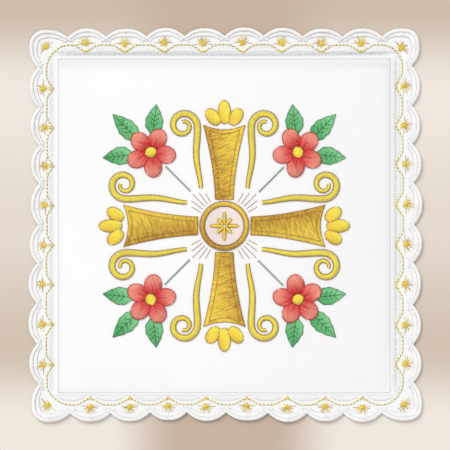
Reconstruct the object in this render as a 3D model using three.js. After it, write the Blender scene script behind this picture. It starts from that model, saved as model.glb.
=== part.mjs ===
// A chalice pall: a stiffened square of white linen inside a scalloped, embroidered border.
// It lies face up on z = 0, in millimetres, its middle over the origin and +Y towards the top of its design.
import * as THREE from "three";

// The square that the scallops' crowns reach, and the scallops on a side, counting the lobe at each end.
const OVERALL = 180;
const SCALLOPS = 10;
const PITCH = OVERALL / SCALLOPS;
const SIDE_SCALLOPS = SCALLOPS - 2;
const SCALLOP_DEPTH = 3.7;
const SCALLOP_FULLNESS = 2.3;

// The stiffened square: its size, where its middle lies, its thickness and its soft edges.
const PANEL = { width: 151.2, height: 151.8, x: -0.3, y: -0.6, corner: 1.8 };
const PANEL_TOP = { rim: 2.2, crown: 0.5, flatness: 4, roll: 0.7 };
const SEAM_GAP = 0.3;

// The border: the thickness of its cloth, and how far each raised row of stitching stands above that.
const CLOTH = 1.1;
const EDGE_SATIN = { crownWidth: 3.9, valleyWidth: 2.2, rise: 0.55, roll: 0.35, underside: 0.15 };
const INNER_SATIN = { from: 5.6, to: 2.9, rise: 0.45 };
const SEAM_GROOVE = { at: 2.3, drop: 0.15 };
const SEAM_RIDGE = { foot: 1.7, crest: 0.8, rise: 0.9, fall: 0.3 };

// How high the scallops' tips lift at most, the length of that wave, and its shift from side to side.
const TIP_LIFT = { most: 0.55, wave: 21, shift: 1.9 };

// How many steps there are along a scallop, along each part of a corner lobe, and across the square.
const STEPS = { scallop: 8, lobeShoulder: 4, lobeRound: 6, panel: 18 };

// Each side's edge, clockwise from corner to corner: how far each scallop's crown is drawn in from the
// square, and how far each valley between two scallops lies past its even place.
const EDGES = [
  {
    side: "top",
    drawnIn: [1.1, 0.45, 0.65, 0.2, 0.4, 0.0, 0.2, 0.65, 0.5, 0.45],
    valleyShift: [0.4, -0.2, 0.3, -0.4, -0.1, -0.4, -0.5, -0.4, -0.3],
  },
  {
    side: "right",
    drawnIn: [1.4, 1.2, 1.2, 0.55, 0.1, 0.3, 0.8, 0.75, 0.5, 0.3],
    valleyShift: [-0.4, -0.2, -0.7, -1.0, 0.1, -0.6, 0.7, 0.6, -0.1],
  },
  {
    side: "bottom",
    drawnIn: [1.0, 0.3, 0.8, 0.4, 1.1, 0.85, 1.25, 0.7, 0.6, 0.0],
    valleyShift: [0.5, 0.0, -1.4, -1.6, -0.5, -0.6, -2.0, -1.8, -1.6],
  },
  {
    side: "left",
    drawnIn: [1.4, 0.4, 0.0, 0.0, 0.6, 1.1, 1.3, 1.1, 0.5, 0.4],
    valleyShift: [-0.8, -0.4, 0.2, 0.2, -0.3, 0.5, -0.2, -0.7, -0.7],
  },
];

// Where the middle of each corner lobe lies in from the two sides it joins, and how square the lobe is.
const CORNER_LOBES = [
  { corner: "top right", before: 9.4, after: 9.8, fullness: 2.7 },
  { corner: "bottom right", before: 8.5, after: 8.3, fullness: 2.6 },
  { corner: "bottom left", before: 7.9, after: 9.3, fullness: 2.1 },
  { corner: "top left", before: 8.6, after: 9.1, fullness: 2.2 },
];

const HALF = OVERALL / 2;
const PANEL_HALF = { x: PANEL.width / 2, y: PANEL.height / 2 };

const linen = new THREE.MeshStandardMaterial({ color: 0xf6f7fa, roughness: 0.85, metalness: 0 });
const embroideredCloth = new THREE.MeshStandardMaterial({ color: 0xfafaf8, roughness: 0.6, metalness: 0 });

// A point along a side and out from the middle, turned into the frame. Sides run clockwise from the top.
function onSide(side, along, out) {
  const turn = (-side * Math.PI) / 2;
  return new THREE.Vector2(along, out).rotateAround(new THREE.Vector2(0, 0), turn);
}

// Where a valley lies along its side, counted from 0 at the first.
function valleyAt(side, index) {
  return (index - SIDE_SCALLOPS / 2) * PITCH + EDGES[side].valleyShift[index];
}

// How far one side's scalloped edge reaches from the middle. Place 2.5 is half way along the third scallop.
function scallopReach(side, place) {
  const { drawnIn } = EDGES[side];
  const before = Math.floor(place + 0.5);
  const drawn = THREE.MathUtils.lerp(drawnIn[before], drawnIn[before + 1], place + 0.5 - before);
  const fromCrown = Math.abs(2 * (place - Math.floor(place)) - 1);
  return HALF - drawn - SCALLOP_DEPTH * Math.pow(fromCrown, SCALLOP_FULLNESS);
}

// How far the opening that the stiffened square fills reaches from the middle, on one side.
function openingReach(side) {
  const half = side % 2 === 0 ? PANEL_HALF.y : PANEL_HALF.x;
  const shift = [PANEL.y, PANEL.x, -PANEL.y, -PANEL.x][side];
  return half + shift + SEAM_GAP;
}

// A slow rise and fall along a side, from 0 to 1, by which its scallops lift from the surface.
function liftAt(side, along) {
  return (1 + Math.sin(along / TIP_LIFT.wave + side * TIP_LIFT.shift)) / 2;
}

// The stations along a side, valley to valley: each has a point on the scalloped edge and on the opening.
function sideStations(side) {
  const count = SIDE_SCALLOPS * STEPS.scallop;
  return Array.from({ length: count + 1 }, (_, i) => {
    const scallop = Math.min(Math.floor(i / STEPS.scallop), SIDE_SCALLOPS - 1);
    const share = i / STEPS.scallop - scallop;
    const along = THREE.MathUtils.lerp(valleyAt(side, scallop), valleyAt(side, scallop + 1), share);
    return {
      outer: onSide(side, along, scallopReach(side, i / STEPS.scallop)),
      inner: onSide(side, along, openingReach(side)),
      crown: 1 - Math.abs(2 * share - 1),
      lift: liftAt(side, along),
    };
  });
}

// A point of the opening's edge on the way round the corner after a side, for a share of the way from 0 to 1.
function openingCorner(side, share) {
  const next = (side + 1) % 4;
  const ahead = openingReach(next) - PANEL.corner;
  const out = openingReach(side) - PANEL.corner;
  const before = ahead - valleyAt(side, SIDE_SCALLOPS);
  const after = out + valleyAt(next, 0);
  const bend = (PANEL.corner * Math.PI) / 2;
  const way = share * (before + bend + after);
  if (way <= before) return onSide(side, ahead - before + way, openingReach(side));
  if (way >= before + bend) return onSide(side, openingReach(next), out - (way - before - bend));
  const angle = (way - before) / PANEL.corner;
  return onSide(side, ahead + PANEL.corner * Math.sin(angle), out + PANEL.corner * Math.cos(angle));
}

// A corner lobe's outline after a side, as places along and out of it: up a shoulder, round, and down.
function cornerLobe(side) {
  const next = (side + 1) % 4;
  const lobe = CORNER_LOBES[side];
  const crown = { along: HALF - EDGES[next].drawnIn[0], out: HALF - EDGES[side].drawnIn[SCALLOPS - 1] };
  const middle = { along: HALF - lobe.after, out: HALF - lobe.before };
  const start = { along: valleyAt(side, SIDE_SCALLOPS), out: scallopReach(side, SIDE_SCALLOPS) };
  const end = { along: scallopReach(next, 0), out: -valleyAt(next, 0) };
  const shoulder = Array.from({ length: STEPS.lobeShoulder }, (_, i) => (i + 1) / STEPS.lobeShoulder);
  const fall = (share) => Math.pow(1 - share, SCALLOP_FULLNESS);
  const quarter = Math.PI / 2;
  const round = Array.from({ length: STEPS.lobeRound - 1 }, (_, i) => ((i + 1) / STEPS.lobeRound) * quarter);
  const power = 2 / lobe.fullness;
  return [
    ...shoulder.map((share) => ({
      along: THREE.MathUtils.lerp(start.along, middle.along, share),
      out: crown.out - (crown.out - start.out) * fall(share),
      crown: share,
    })),
    ...round.map((angle) => ({
      along: middle.along + (crown.along - middle.along) * Math.pow(Math.sin(angle), power),
      out: middle.out + (crown.out - middle.out) * Math.pow(Math.cos(angle), power),
      crown: 1,
    })),
    ...shoulder.reverse().map((share) => ({
      along: crown.along - (crown.along - end.along) * fall(share),
      out: THREE.MathUtils.lerp(end.out, middle.out, share),
      crown: share,
    })),
  ];
}

// The stations round the corner after a side. The lift runs over from that side's to the next one's.
function cornerStations(side) {
  const next = (side + 1) % 4;
  const outline = cornerLobe(side);
  const lifts = [liftAt(side, valleyAt(side, SIDE_SCALLOPS)), liftAt(next, valleyAt(next, 0))];
  return outline.map(({ along, out, crown }, i) => {
    const share = (i + 1) / (outline.length + 1);
    return {
      outer: onSide(side, along, out),
      inner: openingCorner(side, share),
      crown,
      lift: THREE.MathUtils.lerp(lifts[0], lifts[1], share),
    };
  });
}

// The border's cross-section at a station, as a closed loop: the top from the outer edge in, then the
// underside. Each point is a distance in from the outer edge and a height. The outer satin is widest at a
// scallop's crown, and the inner satin is highest opposite its valleys.
function borderSection({ outer, inner, crown, lift }) {
  const across = outer.distanceTo(inner);
  const satin = THREE.MathUtils.lerp(EDGE_SATIN.valleyWidth, EDGE_SATIN.crownWidth, crown);
  const satinTop = CLOTH + EDGE_SATIN.rise;
  const tip = TIP_LIFT.most * lift * crown;
  const crescent = CLOTH + INNER_SATIN.rise * Math.sqrt(1 - crown);
  const ridge = CLOTH + SEAM_RIDGE.rise;
  const loop = [
    [0, tip + CLOTH - EDGE_SATIN.roll],
    [EDGE_SATIN.roll, tip + satinTop],
    [satin / 2, tip / 2 + satinTop],
    [satin, CLOTH],
    [across - INNER_SATIN.from, CLOTH],
    [across - (INNER_SATIN.from + INNER_SATIN.to) / 2, crescent],
    [across - INNER_SATIN.to, CLOTH],
    [across - SEAM_GROOVE.at, CLOTH - SEAM_GROOVE.drop],
    [across - SEAM_RIDGE.foot, CLOTH],
    [across - SEAM_RIDGE.crest, ridge],
    [across, ridge - SEAM_RIDGE.fall],
    [across, 0],
    [satin, 0],
    [0, tip + EDGE_SATIN.underside],
  ];
  return loop.map(([distance, height]) => {
    const flat = outer.clone().lerp(inner, distance / across);
    return new THREE.Vector3(flat.x, flat.y, height);
  });
}

// A closed ring made of cross-sections, each one a loop of the same number of points.
function ringGeometry(sections) {
  const size = sections[0].length;
  const faces = [];
  sections.forEach((_, i) => {
    const here = i * size;
    const next = ((i + 1) % sections.length) * size;
    for (let j = 0; j < size; j++) {
      const k = (j + 1) % size;
      faces.push(here + j, here + k, next + j, next + j, here + k, next + k);
    }
  });
  return indexedGeometry(sections.flat(), faces);
}

// A mesh's geometry from its points and the numbers of the points in each face.
function indexedGeometry(points, faces) {
  const geometry = new THREE.BufferGeometry().setFromPoints(points);
  geometry.setIndex(faces);
  geometry.computeVertexNormals();
  return geometry;
}

// The border: a scalloped ring of cloth with raised satin edges, inner raised crescents and a seam ridge.
function makeBorder() {
  const stations = [0, 1, 2, 3].flatMap((side) => [...sideStations(side), ...cornerStations(side)]);
  const mesh = new THREE.Mesh(ringGeometry(stations.map(borderSection)), embroideredCloth);
  mesh.name = "border";
  return mesh;
}

// The places of grid lines from edge to edge of the square, with one more line across each rounded corner.
function panelLines(half) {
  const inside = half - PANEL.corner;
  const middle = Array.from({ length: STEPS.panel + 1 }, (_, i) => inside * ((2 * i) / STEPS.panel - 1));
  return [-half, -half + PANEL.corner / 2, ...middle, half - PANEL.corner / 2, half];
}

// A grid place of the square, with each corner zone squeezed from a small square into a quarter disc.
function roundedPlace([x, y]) {
  const inside = { x: PANEL_HALF.x - PANEL.corner, y: PANEL_HALF.y - PANEL.corner };
  const zone = new THREE.Vector2(Math.abs(x) - inside.x, Math.abs(y) - inside.y);
  if (Math.min(zone.x, zone.y) <= 0) return new THREE.Vector2(x, y);
  zone.multiplyScalar(Math.max(zone.x, zone.y) / zone.length());
  return new THREE.Vector2(Math.sign(x) * (inside.x + zone.x), Math.sign(y) * (inside.y + zone.y));
}

// The panel's top height: lowest at the rolled rim and a little crowned over the middle.
function panelHeight([x, y]) {
  const fall = (share) => 1 - Math.pow(Math.abs(share), PANEL_TOP.flatness);
  return PANEL_TOP.rim + PANEL_TOP.crown * Math.sqrt(fall(x / PANEL_HALF.x) * fall(y / PANEL_HALF.y));
}

// Two loops of as many points joined by a band of faces, the first loop above the second.
function bandFaces(above, below) {
  return above.flatMap((_, i) => {
    const j = (i + 1) % above.length;
    return [above[i], below[i], above[j], above[j], below[i], below[j]];
  });
}

// The panel: a stiffened square with a crowned face, rolled upper edges and a flat underside.
function makePanel() {
  const xs = panelLines(PANEL_HALF.x);
  const ys = panelLines(PANEL_HALF.y);
  const columns = xs.length;
  const rows = ys.length;
  const grid = ys.flatMap((y) => xs.map((x) => [x, y]));
  const cell = (a) => [a, a + 1, a + columns, a + 1, a + columns + 1, a + columns];
  const isCell = (a) => a % columns < columns - 1 && a < (rows - 1) * columns;
  const cells = grid.flatMap((_, a) => (isCell(a) ? cell(a) : []));
  const rim = [
    ...xs.slice(1).map((_, i) => i),
    ...ys.slice(1).map((_, j) => j * columns + columns - 1),
    ...xs.slice(1).map((_, i) => rows * columns - 1 - i),
    ...ys.slice(1).map((_, j) => (rows - 1 - j) * columns),
  ];
  const inset = 1 - PANEL_TOP.roll / PANEL_HALF.x;
  const top = grid.map((place) => {
    const flat = roundedPlace(place).multiplyScalar(inset);
    return new THREE.Vector3(flat.x, flat.y, panelHeight(place));
  });
  const rimAt = (height) => rim.map((a) => new THREE.Vector3(...roundedPlace(grid[a]).toArray(), height));
  const shoulder = rim.map((_, i) => top.length + i);
  const foot = rim.map((_, i) => top.length + rim.length + i);
  const middle = top.length + 2 * rim.length;
  const points = [...top, ...rimAt(PANEL_TOP.rim - PANEL_TOP.roll), ...rimAt(0), new THREE.Vector3()];
  const base = foot.flatMap((a, i) => [a, middle, foot[(i + 1) % foot.length]]);
  const faces = [...cells, ...bandFaces(rim, shoulder), ...bandFaces(shoulder, foot), ...base];
  const mesh = new THREE.Mesh(indexedGeometry(points, faces), linen);
  mesh.name = "panel";
  mesh.position.set(PANEL.x, PANEL.y, 0);
  return mesh;
}

const pall = new THREE.Group();
pall.add(makePanel(), makeBorder());

export default pall;
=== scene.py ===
"""A chalice pall: the looks of its stiffened linen square, its scalloped border and all of its embroidery.

The shape functions work in millimetres in the part's own frame, and the meshes are stored in metres. Sides
are numbered clockwise from the top. A place on a side is how far it lies along the side and out from the
middle.
"""

import bpy
import numpy as np
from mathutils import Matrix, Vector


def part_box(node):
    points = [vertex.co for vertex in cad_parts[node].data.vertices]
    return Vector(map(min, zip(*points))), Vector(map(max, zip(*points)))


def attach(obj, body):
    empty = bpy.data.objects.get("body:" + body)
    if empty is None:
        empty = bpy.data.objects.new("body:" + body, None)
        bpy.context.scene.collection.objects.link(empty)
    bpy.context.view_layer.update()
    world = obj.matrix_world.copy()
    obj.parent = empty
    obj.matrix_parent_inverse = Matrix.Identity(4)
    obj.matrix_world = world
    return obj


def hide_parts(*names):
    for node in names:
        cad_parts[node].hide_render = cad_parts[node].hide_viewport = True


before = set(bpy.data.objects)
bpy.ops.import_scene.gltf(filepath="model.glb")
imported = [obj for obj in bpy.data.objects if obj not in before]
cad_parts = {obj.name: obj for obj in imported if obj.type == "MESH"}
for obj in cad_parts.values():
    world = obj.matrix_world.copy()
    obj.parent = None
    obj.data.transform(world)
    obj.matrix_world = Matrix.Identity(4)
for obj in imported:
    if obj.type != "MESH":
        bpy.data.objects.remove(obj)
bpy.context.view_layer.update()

bl_info = {
    "name": "Chalice pall",
    "version": (1, 0, 0),
    "blender": (4, 5, 0),
    "location": "3D View > Sidebar > Pall",
    "description": "Makes the linen, the scalloped border and the embroidery of a chalice pall",
    "category": "Object",
}

MM = 0.001

# Each side's edge, in millimetres and shares, for the top, right, bottom and left side.
EDGES = {
    # How far each crown is drawn in from the square, and how far each valley lies past its even place.
    "drawn_in": (
        (1.3, 0.65, 0.85, 0.4, 0.6, 0.2, 0.4, 0.85, 0.7, 0.65),
        (1.3, 1.1, 1.1, 0.45, 0.0, 0.2, 0.7, 0.65, 0.4, 0.2),
        (0.6, 0.0, 0.4, 0.0, 0.7, 0.45, 0.85, 0.3, 0.2, 0.0),
        (1.85, 0.85, 0.45, 0.45, 1.05, 1.55, 1.75, 1.55, 0.95, 0.85),
    ),
    "valley_shift": (
        (0.4, -0.2, 0.3, -0.4, -0.1, -0.4, -0.5, -0.4, -0.3),
        (-0.4, -0.2, -0.7, -1.0, 0.1, -0.6, 0.7, 0.6, -0.1),
        (0.5, 0.0, -1.4, -1.6, -0.5, -0.6, -2.0, -1.8, -1.6),
        (-0.8, -0.4, 0.2, 0.2, -0.3, 0.5, -0.2, -0.7, -0.7),
    ),
    # How deep the row of stitches beside the seam has pulled in, and its distances out from the opening.
    # The depth also sets how much painted shade darkens the seam's groove.
    "holes": (1.0, 0.75, 0.1, 0.3),
    "row": ((1.0, 2.8), (1.2, 2.7), (0.9, 1.6), (2.0, 3.4)),
    # How much painted shade darkens the seam's ridge and the linen's rim beside it.
    "ridge_painted_shade": (0.2, 0.03, 0.0, 0.08),
    "rim_painted_shade": (0.75, 0.1, 0.0, 0.4),
    # How far the gold wave's crests lie inside the crowns and its cusps out from the opening, how much
    # painted shade darkens it on each side (below nought, painted light lightens it), and between which
    # shares of the way from a valley to a star it falls.
    "wave_in": (7.45, 8.4, 7.6, 7.6),
    "cusp": (3.3, 2.4, 1.9, 2.0),
    "wave_painted_shade": (0.15, -0.15, -0.2, 0.1),
    "fall": ((0.38, 0.9), (0.36, 0.88), (0.3, 1.0), (0.48, 1.0)),
    # How far the crescents lie in from the wave.
    "crescent": (0.9, 0.9, 1.5, 1.0),
    # How far the stars lie inside their crowns and past them, how much longer their rays are, whether their
    # hearts are long across the side, and whether brown bars run from them to the wave.
    "star_in": (6.85, 7.35, 6.75, 6.5),
    "star_along": (-0.7, 0.25, 0.15, -0.4),
    "rays": (1.12, 1.18, 1.12, 0.95),
    "bold": (True, True, False, False),
    "barred": (False, False, False, True),
}

# Where the middle of each corner lobe lies in from the two sides it joins, and how square the lobe is.
CORNER_LOBES = (
    {"corner": "top right", "before": 9.4, "after": 9.8, "fullness": 2.7},
    {"corner": "bottom right", "before": 8.5, "after": 8.3, "fullness": 2.6},
    {"corner": "bottom left", "before": 7.9, "after": 9.3, "fullness": 2.1},
    {"corner": "top left", "before": 8.6, "after": 9.1, "fullness": 2.2},
)

SIDE_LOBES = 8
# The power by which a scallop's edge falls from its crown.
SCALLOP_POWER = 2.3
TIP_LIFT = {"most": 0.55, "wave": 21.0, "shift": 1.9}
# The padding's width under the satin edge at a valley.
VALLEY_PAD = 2.2
PANEL_CORNER = 0.8
SEAM_GAP = 0.3
# The loops round the linen's rim: how far in they lie, and their share of the way up from the seam's height.
RIM_LOOPS = ((1.1, 0.8), (0.65, 0.57), (0.3, 0.36), (0.08, 0.18), (0.0, 0.0))
RIM_SEAM = 1.45
RIM_FOOT = 0.2

# A star's rays: their angles, their shares of the reach, and how likely each one is to be brown.
STAR_ANGLES = (-0.05, 0.28, 0.62, 0.95, 1.25, 1.57, 1.9, 2.2, 2.52, 2.87, 3.2, 3.75, 4.35, 5.1, 5.6)
STAR_SHARES = (1.0, 0.75, 0.72, 0.7, 0.7, 0.72, 0.7, 0.7, 0.72, 0.76, 1.0, 0.5, 0.36, 0.36, 0.5)
STAR_BROWN = (0.8, 0.4, 0.3, 0.5, 0.4, 0.3, 0.5, 0.4, 0.5, 0.3, 0.7, 0.1, 0.1, 0.1, 0.1)

# The emblem's upper arm, one scroll and one flower, from the middle of the linen.
CROSS = {"from": 12.0, "to": 46.0, "narrow": 4.2, "wide": 9.6, "hollow": 2.2}
SCROLL = {"foot": (10.6, 17.0), "middle": (18.7, 45.6), "radius": 6.4, "turns": 1.3, "half": 1.55}
FLOWER = {"middle": (33.5, 33.5), "turn": 0.785, "petal_at": 6.7, "long": 4.8, "wide": 4.0}
DISC = {"inside": 8.9, "outside": 11.3}
# The longest stitch of a satin shape: longer than any shape, so that no stitch is split.
WHOLE = 1000.0
# How far a row's splits step on from the last row's, and how far the two stitches overlap there.
SPLIT_STEP = 0.382
SPLIT_OVERLAP = 0.2

# The photograph's width and the pall's in it, in pixels.
PHOTO_WIDTH = 450
PALL_WIDTH = 394.65


def linear(red, green, blue):
    """A colour given in display values from 0 to 255, as linear light."""
    shares = np.array([red, green, blue]) / 255
    return tuple(np.where(shares <= 0.04045, shares / 12.92, ((shares + 0.055) / 1.055) ** 2.4).tolist())


def length(label, description, millimetres):
    """A length property, held in metres."""
    return bpy.props.FloatProperty(
        name=label,
        description=description,
        default=millimetres * MM,
        min=0.0,
        precision=5,
        subtype="DISTANCE",
        unit="LENGTH",
    )


def colour(label, description, display):
    """A colour property whose default is given in display values from 0 to 255."""
    return bpy.props.FloatVectorProperty(
        name=label,
        description=description,
        default=linear(*display),
        min=0.0,
        max=1.0,
        size=3,
        subtype="COLOR",
    )


class PallSizes(bpy.types.PropertyGroup):
    """The pall's sizes."""

    overall: length("Overall", "Square that the scallops' crowns reach", 180.0)
    scallop_depth: length("Scallop depth", "From a crown to the valleys beside it", 3.7)
    cloth: length("Cloth", "Thickness of the border's cloth", 1.1)
    edge_satin: length("Edge satin", "Width of the satin edge at a crown", 4.0)
    edge_roll: length("Edge roll", "Width of the outer row of the satin edge", 1.8)
    satin_pitch: length("Satin pitch", "From one satin stitch to the next", 0.4)
    thread: length("Thread", "Width of a laid thread", 0.42)
    star_reach: length("Star reach", "Length of a star's longest rays", 4.6)
    wave_stitch: length("Wave stitch", "Length of one stitch of the gold wave", 1.73)
    emblem_row: length("Emblem row", "From one row of the emblem's filling to the next", 0.42)


class PallColours(bpy.types.PropertyGroup):
    """The pall's colours."""

    linen: colour("Linen", "Cloth of the middle square", (247, 247, 248))
    # Painted shade: the linen along the top and right seams and round its rim is darkened towards this
    # colour.
    linen_painted_shade: colour("Linen shade", "Linen along the seam, over more layers", (220, 221, 226))
    border: colour("Border cloth", "Cloth of the scalloped border", (243, 244, 246))
    # Painted shade: the seam's groove, its row of needle holes and its ridge are darkened towards this
    # colour.
    holes: colour("Seam holes", "Cloth in the seam's row of holes", (186, 187, 191))
    white: colour("White thread", "Thread of the satin edges and the seam", (255, 255, 255))
    gold: colour("Gold thread", "Light side of the stars' thread", (255, 229, 74))
    deep_gold: colour("Deep gold", "Dark side of the stars' thread", (202, 158, 82))
    wave: colour("Wave thread", "Light side of the wave's thread", (255, 248, 188))
    # The wave's random tone, the painted shade at its stitch ends and its brown gap stitches go towards this
    # colour.
    deep_wave: colour("Deep wave thread", "Dark side of the wave's thread", (176, 156, 92))
    metallic: colour("Metallic gold", "Light side of the cross's thread", (255, 226, 86))
    deep_metallic: colour("Deep metallic gold", "Dark side of the cross's thread", (196, 140, 36))
    yellow: colour("Yellow thread", "Buds and scrolls", (255, 244, 90))
    deep_yellow: colour("Deep yellow", "Dark side of the buds and scrolls", (248, 206, 66))
    brown: colour("Brown thread", "Outlines of the gold shapes", (204, 150, 84))
    deep_brown: colour("Deep brown", "Dark side of the brown thread", (128, 76, 30))
    red: colour("Red thread", "Petals", (222, 34, 44))
    pink: colour("Pink thread", "Lighter side of the petals", (246, 160, 142))
    deep_red: colour("Deep red", "Outlines of the petals", (156, 12, 24))
    green: colour("Green thread", "Lighter side of the leaves", (142, 222, 156))
    leaf: colour("Leaf thread", "Darker side of the leaves", (78, 178, 104))
    deep_green: colour("Deep green", "Outlines and veins of the leaves", (36, 128, 70))
    pale: colour("Pale thread", "Disc in the middle", (255, 241, 237))
    floor: colour("Floor", "Surface under the pall, at its lightest", (233, 226, 218))
    # Painted shade: the floor's darker bands and the strip up its middle go towards this colour.
    floor_painted_shade: colour("Floor band", "Surface under the pall, at its darkest", (193, 175, 157))


def size(name):
    """One of the pall's sizes, in millimetres."""
    return getattr(bpy.context.scene.pall_sizes, name) / MM


def tint(name):
    """One of the pall's colours, with full alpha."""
    return (*getattr(bpy.context.scene.pall_colours, name), 1.0)


def node_size(node):
    """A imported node's lowest and highest corner, in millimetres."""
    low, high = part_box(node)
    return np.array(low) / MM, np.array(high) / MM


def panel_frame():
    """The middle of the linen square and half its size, in millimetres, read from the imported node."""
    low, high = node_size("panel")
    return (low[:2] + high[:2]) / 2, (high[:2] - low[:2]) / 2


def drape(x, y):
    """The slight unevenness of laid cloth: three slow waves, 0.03 to 0.05 high, that cross each other."""
    first = np.sin(x / 17.0 + 1.3 * np.sin(y / 31.0))
    second = np.sin(y / 13.0 - 0.9 * np.sin(x / 23.0) + 1.1)
    third = np.sin((x + y) / 9.5 + 0.7)
    return 0.05 * first + 0.05 * second + 0.03 * third


def border_drape(x, y):
    """The border's unevenness: half of the laid cloth's."""
    return drape(x, y) * 0.5


def panel_top(x, y):
    """The linen square's top: a rim height, which sinks with the fifth power of the way to the lower edge,
    and a crown that falls off with the fourth power of the way out."""
    middle, half = panel_frame()
    fall_x = 1 - np.clip(np.abs((x - middle[0]) / half[0]), 0, 1) ** 4
    fall_y = 1 - np.clip(np.abs((y - middle[1]) / half[1]), 0, 1) ** 4
    low = 0.55 * np.clip((middle[1] - y) / half[1], 0, 1) ** 5
    return 2.2 - low + 0.5 * (fall_x * fall_y) ** 0.8 + drape(x, y) * fall_x * fall_y


def border_ground(x, y):
    """The plain cloth of the border between its raised rows."""
    return size("cloth") + 0.02 + border_drape(x, y)


def edge_value(key, side):
    """One of the edges' values for a side, or for each of an array of sides."""
    return np.array(EDGES[key])[side]


def ray(angle):
    """The unit direction at an angle, or at each of an array of angles."""
    return np.stack([np.cos(angle), np.sin(angle)], axis=-1)


def left_of(heading):
    """The directions a quarter turn to the left of others."""
    return np.stack([-heading[..., 1], heading[..., 0]], axis=-1)


def side_point(side, along, out):
    """Places on a side as points in the frame: turned a quarter clockwise for each side after the top."""
    cosine, sine = ((1, 0), (0, -1), (-1, 0), (0, 1))[side]
    return np.stack([along * cosine - out * sine, along * sine + out * cosine], axis=-1)


def valley_place(side, index):
    """How far along its side a valley lies: an even pitch and its own shift."""
    pitch = size("overall") / (SIDE_LOBES + 2)
    return (index - SIDE_LOBES / 2) * pitch + edge_value("valley_shift", side)[index]


def scallop_reach(side, place):
    """How far out a side's edge lies: the square's half, less the crowns' drawn-in, less a power of the way
    from the nearest crown. Place 2.5 is half way along the third scallop."""
    drawn = np.interp(place + 0.5, np.arange(SIDE_LOBES + 2), edge_value("drawn_in", side))
    fall = np.abs(2 * (place - np.floor(place)) - 1) ** SCALLOP_POWER
    return size("overall") / 2 - drawn - size("scallop_depth") * fall


def opening_reach(side):
    """How far the opening that the linen square fills reaches out on a side."""
    middle, half = panel_frame()
    across = 1 if side % 2 == 0 else 0
    sign = 1 if side < 2 else -1
    return half[across] + sign * middle[across] + SEAM_GAP


def tip_lift(side, along):
    """A slow wave from 0 to 1 along a side, by which the scallops' tips lift."""
    return (1 + np.sin(along / TIP_LIFT["wave"] + side * TIP_LIFT["shift"])) / 2


def opening_corner(side, share):
    """The opening's edge round the corner after a side: a straight, a quarter circle and a straight, walked
    at an even pace from one valley to the next."""
    following = (side + 1) % 4
    ahead = opening_reach(following) - PANEL_CORNER
    out = opening_reach(side) - PANEL_CORNER
    before = ahead - valley_place(side, SIDE_LOBES)
    after = out + valley_place(following, 0)
    bend = PANEL_CORNER * np.pi / 2
    way = share * (before + bend + after)
    angle = np.clip((way - before) / PANEL_CORNER, 0, np.pi / 2)
    along = ahead + np.minimum(way - before, 0) + PANEL_CORNER * np.sin(angle)
    reach = out - np.maximum(way - before - bend, 0) + PANEL_CORNER * np.cos(angle)
    return side_point(side, along, reach)


def side_lobe(side, index, steps):
    """One scallop of a side, valley to valley: its outer line, the opening's line, its rise to the crown and
    its lift."""
    share = np.linspace(0, 1, steps + 1)
    ends = valley_place(side, index), valley_place(side, index + 1)
    along = ends[0] + (ends[1] - ends[0]) * share
    inside = np.full_like(along, opening_reach(side))
    out = scallop_reach(side, np.minimum(index + share, index + 1 - 1e-9))
    crown = 1 - np.abs(2 * share - 1)
    return {
        "outer": side_point(side, along, out),
        "inner": side_point(side, along, inside),
        "crown": crown,
        "lift": tip_lift(side, along),
    }


def corner_lobe(side, steps):
    """The lobe after a side: a shoulder up, a superellipse round the corner and a shoulder down."""
    following = (side + 1) % 4
    lobe = CORNER_LOBES[side]
    half = size("overall") / 2
    crown_along = half - edge_value("drawn_in", following)[0]
    crown_out = half - edge_value("drawn_in", side)[-1]
    middle_along = half - lobe["after"]
    middle_out = half - lobe["before"]
    start_along = valley_place(side, SIDE_LOBES)
    start_out = scallop_reach(side, np.array(float(SIDE_LOBES)))
    end_along = scallop_reach(following, np.array(0.0))
    end_out = -valley_place(following, 0)
    shoulder = np.linspace(0, 1, steps // 3 + 1)
    angle = np.linspace(0, np.pi / 2, steps - 2 * (steps // 3) + 1)[1:-1]
    rise = 1 - (1 - shoulder) ** SCALLOP_POWER
    power = 2 / lobe["fullness"]
    along = np.concatenate([
        start_along + (middle_along - start_along) * shoulder,
        middle_along + (crown_along - middle_along) * np.sin(angle) ** power,
        (end_along + (crown_along - end_along) * rise)[::-1],
    ])
    out = np.concatenate([
        start_out + (crown_out - start_out) * rise,
        middle_out + (crown_out - middle_out) * np.cos(angle) ** power,
        (end_out + (middle_out - end_out) * shoulder)[::-1],
    ])
    crown = np.concatenate([shoulder, np.ones_like(angle), shoulder[::-1]])
    share = np.linspace(0, 1, len(along))
    lifts = tip_lift(side, start_along), tip_lift(following, valley_place(following, 0))
    return {
        "outer": side_point(side, along, out),
        "inner": opening_corner(side, share),
        "crown": crown,
        "lift": lifts[0] + (lifts[1] - lifts[0]) * share,
    }


def all_lobes(steps):
    """Every scallop in order clockwise, with the corner lobe after each side."""
    made = []
    for side in range(4):
        made += [side_lobe(side, index, steps) for index in range(SIDE_LOBES)]
        made.append(corner_lobe(side, steps))
    return made


def resampled(line, pitch, *others):
    """Points at an even pitch along a line, with any other values that run along it."""
    steps = np.linalg.norm(np.diff(line, axis=0), axis=1)
    way = np.concatenate([[0], np.cumsum(steps)])
    places = np.linspace(0, way[-1], max(int(round(way[-1] / pitch)), 1) + 1)
    columns = [np.interp(places, way, line[:, axis]) for axis in range(line.shape[1])]
    return np.stack(columns, axis=-1), *(np.interp(places, way, other) for other in others)


def directions(line):
    """The unit direction at each point of a line."""
    steps = np.gradient(line, axis=0)
    return steps / np.linalg.norm(steps, axis=1, keepdims=True)


def pad_width(crown):
    """The padding's width under the satin edge: it grows evenly from the valleys to the crowns."""
    return VALLEY_PAD + (size("edge_satin") - VALLEY_PAD) * crown


def bump(share):
    """A smooth rise and fall: the squared sine over shares from 0 to 1, and nothing outside."""
    return np.sin(np.pi * np.clip(share, 0, 1)) ** 2


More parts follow.
